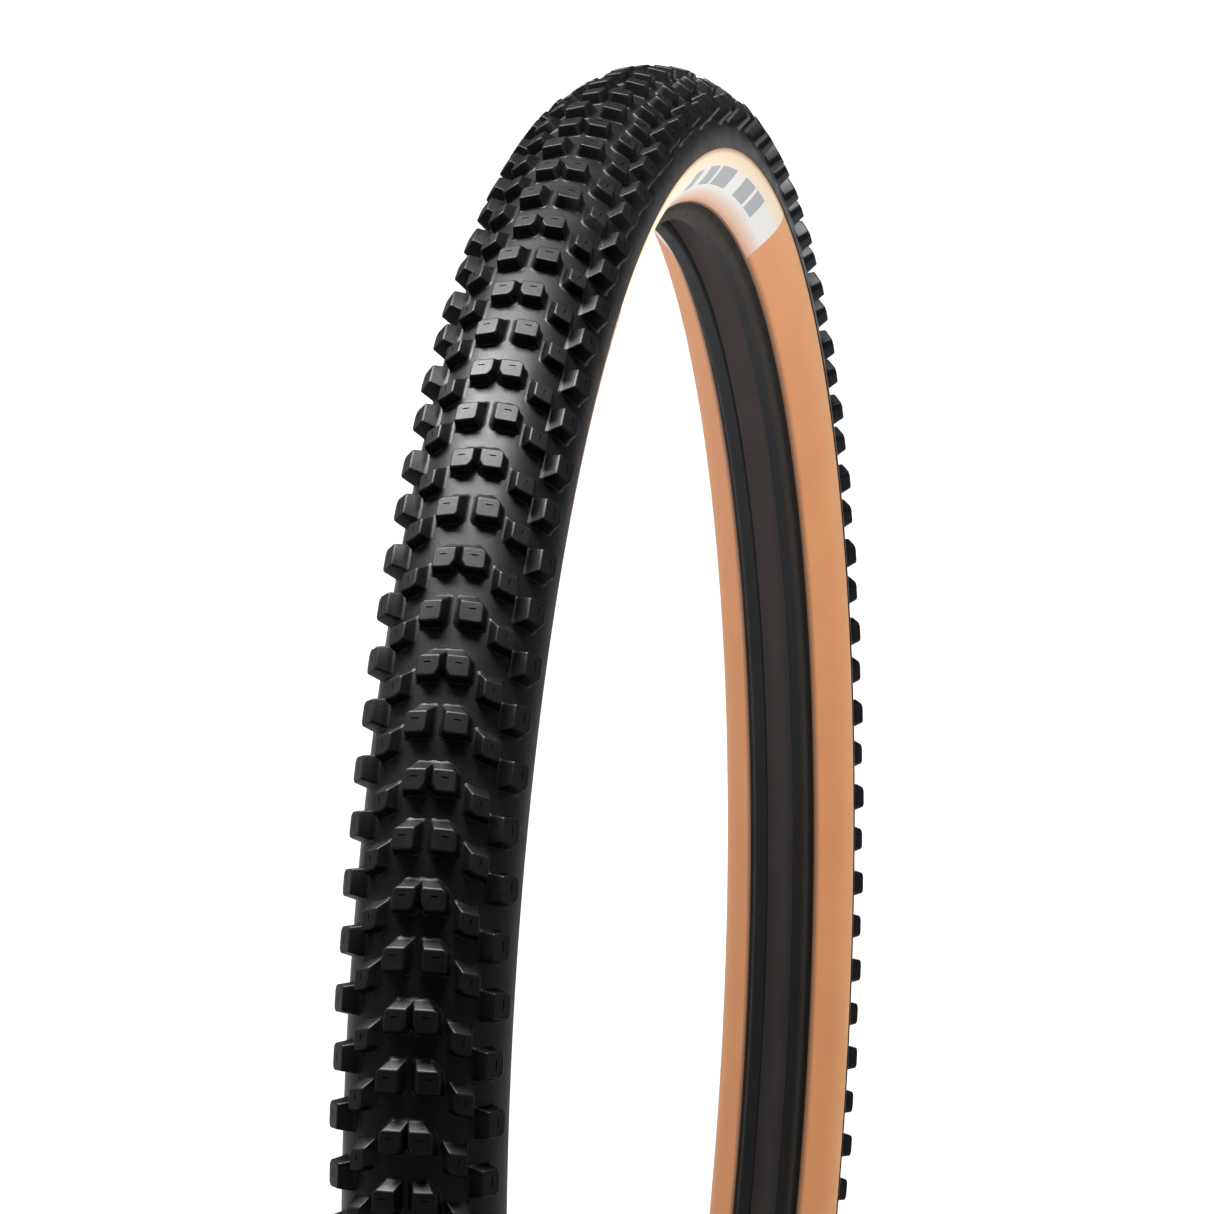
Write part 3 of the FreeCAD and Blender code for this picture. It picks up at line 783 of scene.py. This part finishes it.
def add_sidewall(side):
    outer = thinned(skin_outer_line(), SKIN_POINTS)
    inner = moved_out(outer, -SKIN_THICKNESS)
    profile = to_side(np.concatenate([outer, inner[::-1]]), side)
    piece = ring_mesh(f"sidewall_{side}_skin", profile, tan_rubber(line_length(outer)))
    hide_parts(f"sidewall_skin_{side}")


def add_chafer(side, material):
    """From the skin round the heel, along the base and round the toe to the liner."""
    start = skin_outer_line()[0]
    outside = smooth_line([start, *from_seat(HEEL_POINTS)], CHAFER_OUTSIDE_STEPS)
    inside = smooth_line([*from_seat(TOE_POINTS), *from_seat([CHAFER_END])], CHAFER_INSIDE_STEPS)
    profile = to_side(np.concatenate([outside, inside]), side)
    piece = ring_mesh(f"bead_{side}_chafer", profile, material)
    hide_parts(f"chafer_{side}")
    return piece


def add_liner(material):
    """The chamber's skin, from chafer to chafer."""
    end = np.array(from_seat([CHAFER_END]))
    inner = moved_out(casing_line(), -LINER_DEPTH)
    line = thinned(np.concatenate([end, inner, to_side(end, "right")]), LINER_POINTS)
    outer = moved_out(line, LINER_THICKNESS)
    profile = np.concatenate([line, outer[::-1]])
    piece = ring_mesh("chamber_liner", profile, material)
    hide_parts("inner_liner")
    return piece


def add_patch(name, line, start, end, thickness, material, replaced=None):
    """A thin print on the line, between two ring angles."""
    outer = moved_out(line, thickness)
    profile = np.concatenate([outer, line[::-1]])
    steps = max(3, int((end - start) / FULL_TURN * RING_STEPS))
    piece = ring_mesh(name, profile, material, start=start, end=end, steps=steps)
    if replaced:
        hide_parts(replaced)


def add_label(side, grey):
    """Cream print with plain grey bars on it, which stand for the printed words."""
    face = to_side(thinned(skin_outer_line(), SKIN_POINTS)[1:], side)
    cream = label_print(line_length(face))
    add_patch(f"label_{side}_band", face, LABEL_START, LABEL_END, LABEL_THICKNESS, cream,
              f"sidewall_label_{side}")
    middle = moved_out(face, LABEL_THICKNESS * BAR_LIFT)[BAR_POINTS]
    span = LABEL_END - LABEL_START
    for number, (start, end) in enumerate(LABEL_BARS):
        add_patch(f"label_{side}_bar_{number}", middle, LABEL_START + start * span,
                  LABEL_START + end * span, BAR_THICKNESS, grey)


def finish_hidden_nodes():
    """Materials for the buried CAD nodes, which are shown by their own meshes."""
    cloth = hidden_material("casing_nylon", CLOTH_BROWN, 0.8 * MM)
    aramid = hidden_material("bead_aramid", ARAMID_YELLOW, 0.6 * MM)
    filler = hidden_material("filler_black", FILLER_BLACK, 1.0 * MM)
    hidden = {"casing_ply": cloth, "casing_turnup": cloth, "breaker_belt": cloth,
              "bead_core": aramid, "bead_filler": filler}
    for name, node in frame["nodes"].items():
        for start, material in hidden.items():
            if name.startswith(start):
                node.data.materials.clear()
                node.data.materials.append(material)


# ---- stage and camera -------------------------------------------------------------------------
def add_floor():
    low = CAD_BOX[0][2]
    corners = [(-FLOOR_HALF, -FLOOR_HALF, low), (FLOOR_HALF, -FLOOR_HALF, low),
               (FLOOR_HALF, FLOOR_HALF, low), (-FLOOR_HALF, FLOOR_HALF, low)]
    mesh = bpy.data.meshes.new("floor")
    mesh.from_pydata(corners, [], [(0, 1, 2, 3)])
    floor = bpy.data.objects.new("floor", mesh)
    bpy.context.collection.objects.link(floor)
    nodes = Nodes("floor_white")
    nodes.set(Base_Color=rgba(FLOOR_WHITE), Roughness=0.9)
    mesh.materials.append(nodes.material)
    return floor


def add_area_light(name, place, target, size, power):
    data = bpy.data.lights.new(name, "AREA")
    data.shape = "RECTANGLE"
    data.size, data.size_y = size
    data.energy = power
    light = bpy.data.objects.new(name, data)
    light.location = place
    light.rotation_euler = (Vector(target) - Vector(place)).to_track_quat("-Z", "Y").to_euler()
    bpy.context.collection.objects.link(light)
    return light


def light_only(light, pieces):
    """Let a light reach only these pieces."""
    receivers = bpy.data.collections.new(light.name + "_receivers")
    for piece in pieces:
        receivers.objects.link(piece)
    light.light_linking.receiver_collection = receivers


def add_world():
    """White studio with dark ends fore and aft, which the tread faces."""
    world = bpy.data.worlds.new("studio")
    bpy.context.scene.world = world
    world.use_nodes = True
    tree = world.node_tree
    background = tree.nodes["Background"]
    background.inputs["Color"].default_value = (1.0, 1.0, 1.0, 1.0)
    direction = tree.nodes.new("ShaderNodeTexCoord").outputs["Generated"]
    parts = tree.nodes.new("ShaderNodeSeparateXYZ")
    reach = tree.nodes.new("ShaderNodeMath")
    reach.operation = "ABSOLUTE"
    strength = tree.nodes.new("ShaderNodeMapRange")
    limits = {"From Min": BRIGHT_UNTIL, "From Max": DARK_FROM,
              "To Min": WORLD_STRENGTH, "To Max": DARK_STRENGTH}
    for socket, value in limits.items():
        strength.inputs[socket].default_value = value
    tree.links.new(direction, parts.inputs["Vector"])
    tree.links.new(parts.outputs["X"], reach.inputs[0])
    tree.links.new(reach.outputs[0], strength.inputs["Value"])
    tree.links.new(strength.outputs["Result"], background.inputs["Strength"])


def add_lights(floor, tread_pieces, inner_pieces):
    add_world()
    key = add_area_light("key_overhead", **KEY)
    light_only(key, tread_pieces)
    wash = bpy.data.objects.new("floor_wash", bpy.data.lights.new("floor_wash", "SUN"))
    wash.data.energy = WASH_STRENGTH
    wash.data.angle = WASH_ANGLE
    bpy.context.collection.objects.link(wash)
    light_only(wash, [floor])
    add_area_light("fill_inside", **INSIDE_FILL)
    top_fill = add_area_light("fill_inside_top", **INSIDE_TOP_FILL)
    light_only(top_fill, inner_pieces)


def add_camera():
    azimuth, elevation = math.radians(CAMERA_AZIMUTH), math.radians(CAMERA_ELEVATION)
    back = Vector((math.sin(azimuth) * math.cos(elevation), -math.cos(azimuth) * math.cos(elevation),
                   math.sin(elevation)))
    roll = Euler((0, 0, math.radians(CAMERA_ROLL))).to_quaternion()
    data = bpy.data.cameras.new("camera")
    data.lens = CAMERA_LENS
    data.sensor_width = SENSOR
    data.clip_start, data.clip_end = CAMERA_CLIP
    camera = bpy.data.objects.new("camera", data)
    camera.location = Vector(CAMERA_TARGET) + back * CAMERA_DISTANCE
    camera.rotation_euler = (back.to_track_quat("Z", "Y") @ roll).to_euler()
    bpy.context.collection.objects.link(camera)
    bpy.context.scene.camera = camera


def main():
    tread = tread_rubber()
    tread_pieces = [*add_tread_blocks(tread), add_tread_base(tread)]
    chafer = chafer_rubber()
    grey = bar_print()
    inner_pieces = []
    for side in ("left", "right"):
        add_sidewall(side)
        inner_pieces.append(add_chafer(side, chafer))
        add_label(side, grey)
    inner_pieces.append(add_liner(liner_rubber()))
    finish_hidden_nodes()
    add_lights(add_floor(), tread_pieces, inner_pieces)
    add_camera()
    bpy.context.scene.view_settings.view_transform = "Standard"


main()
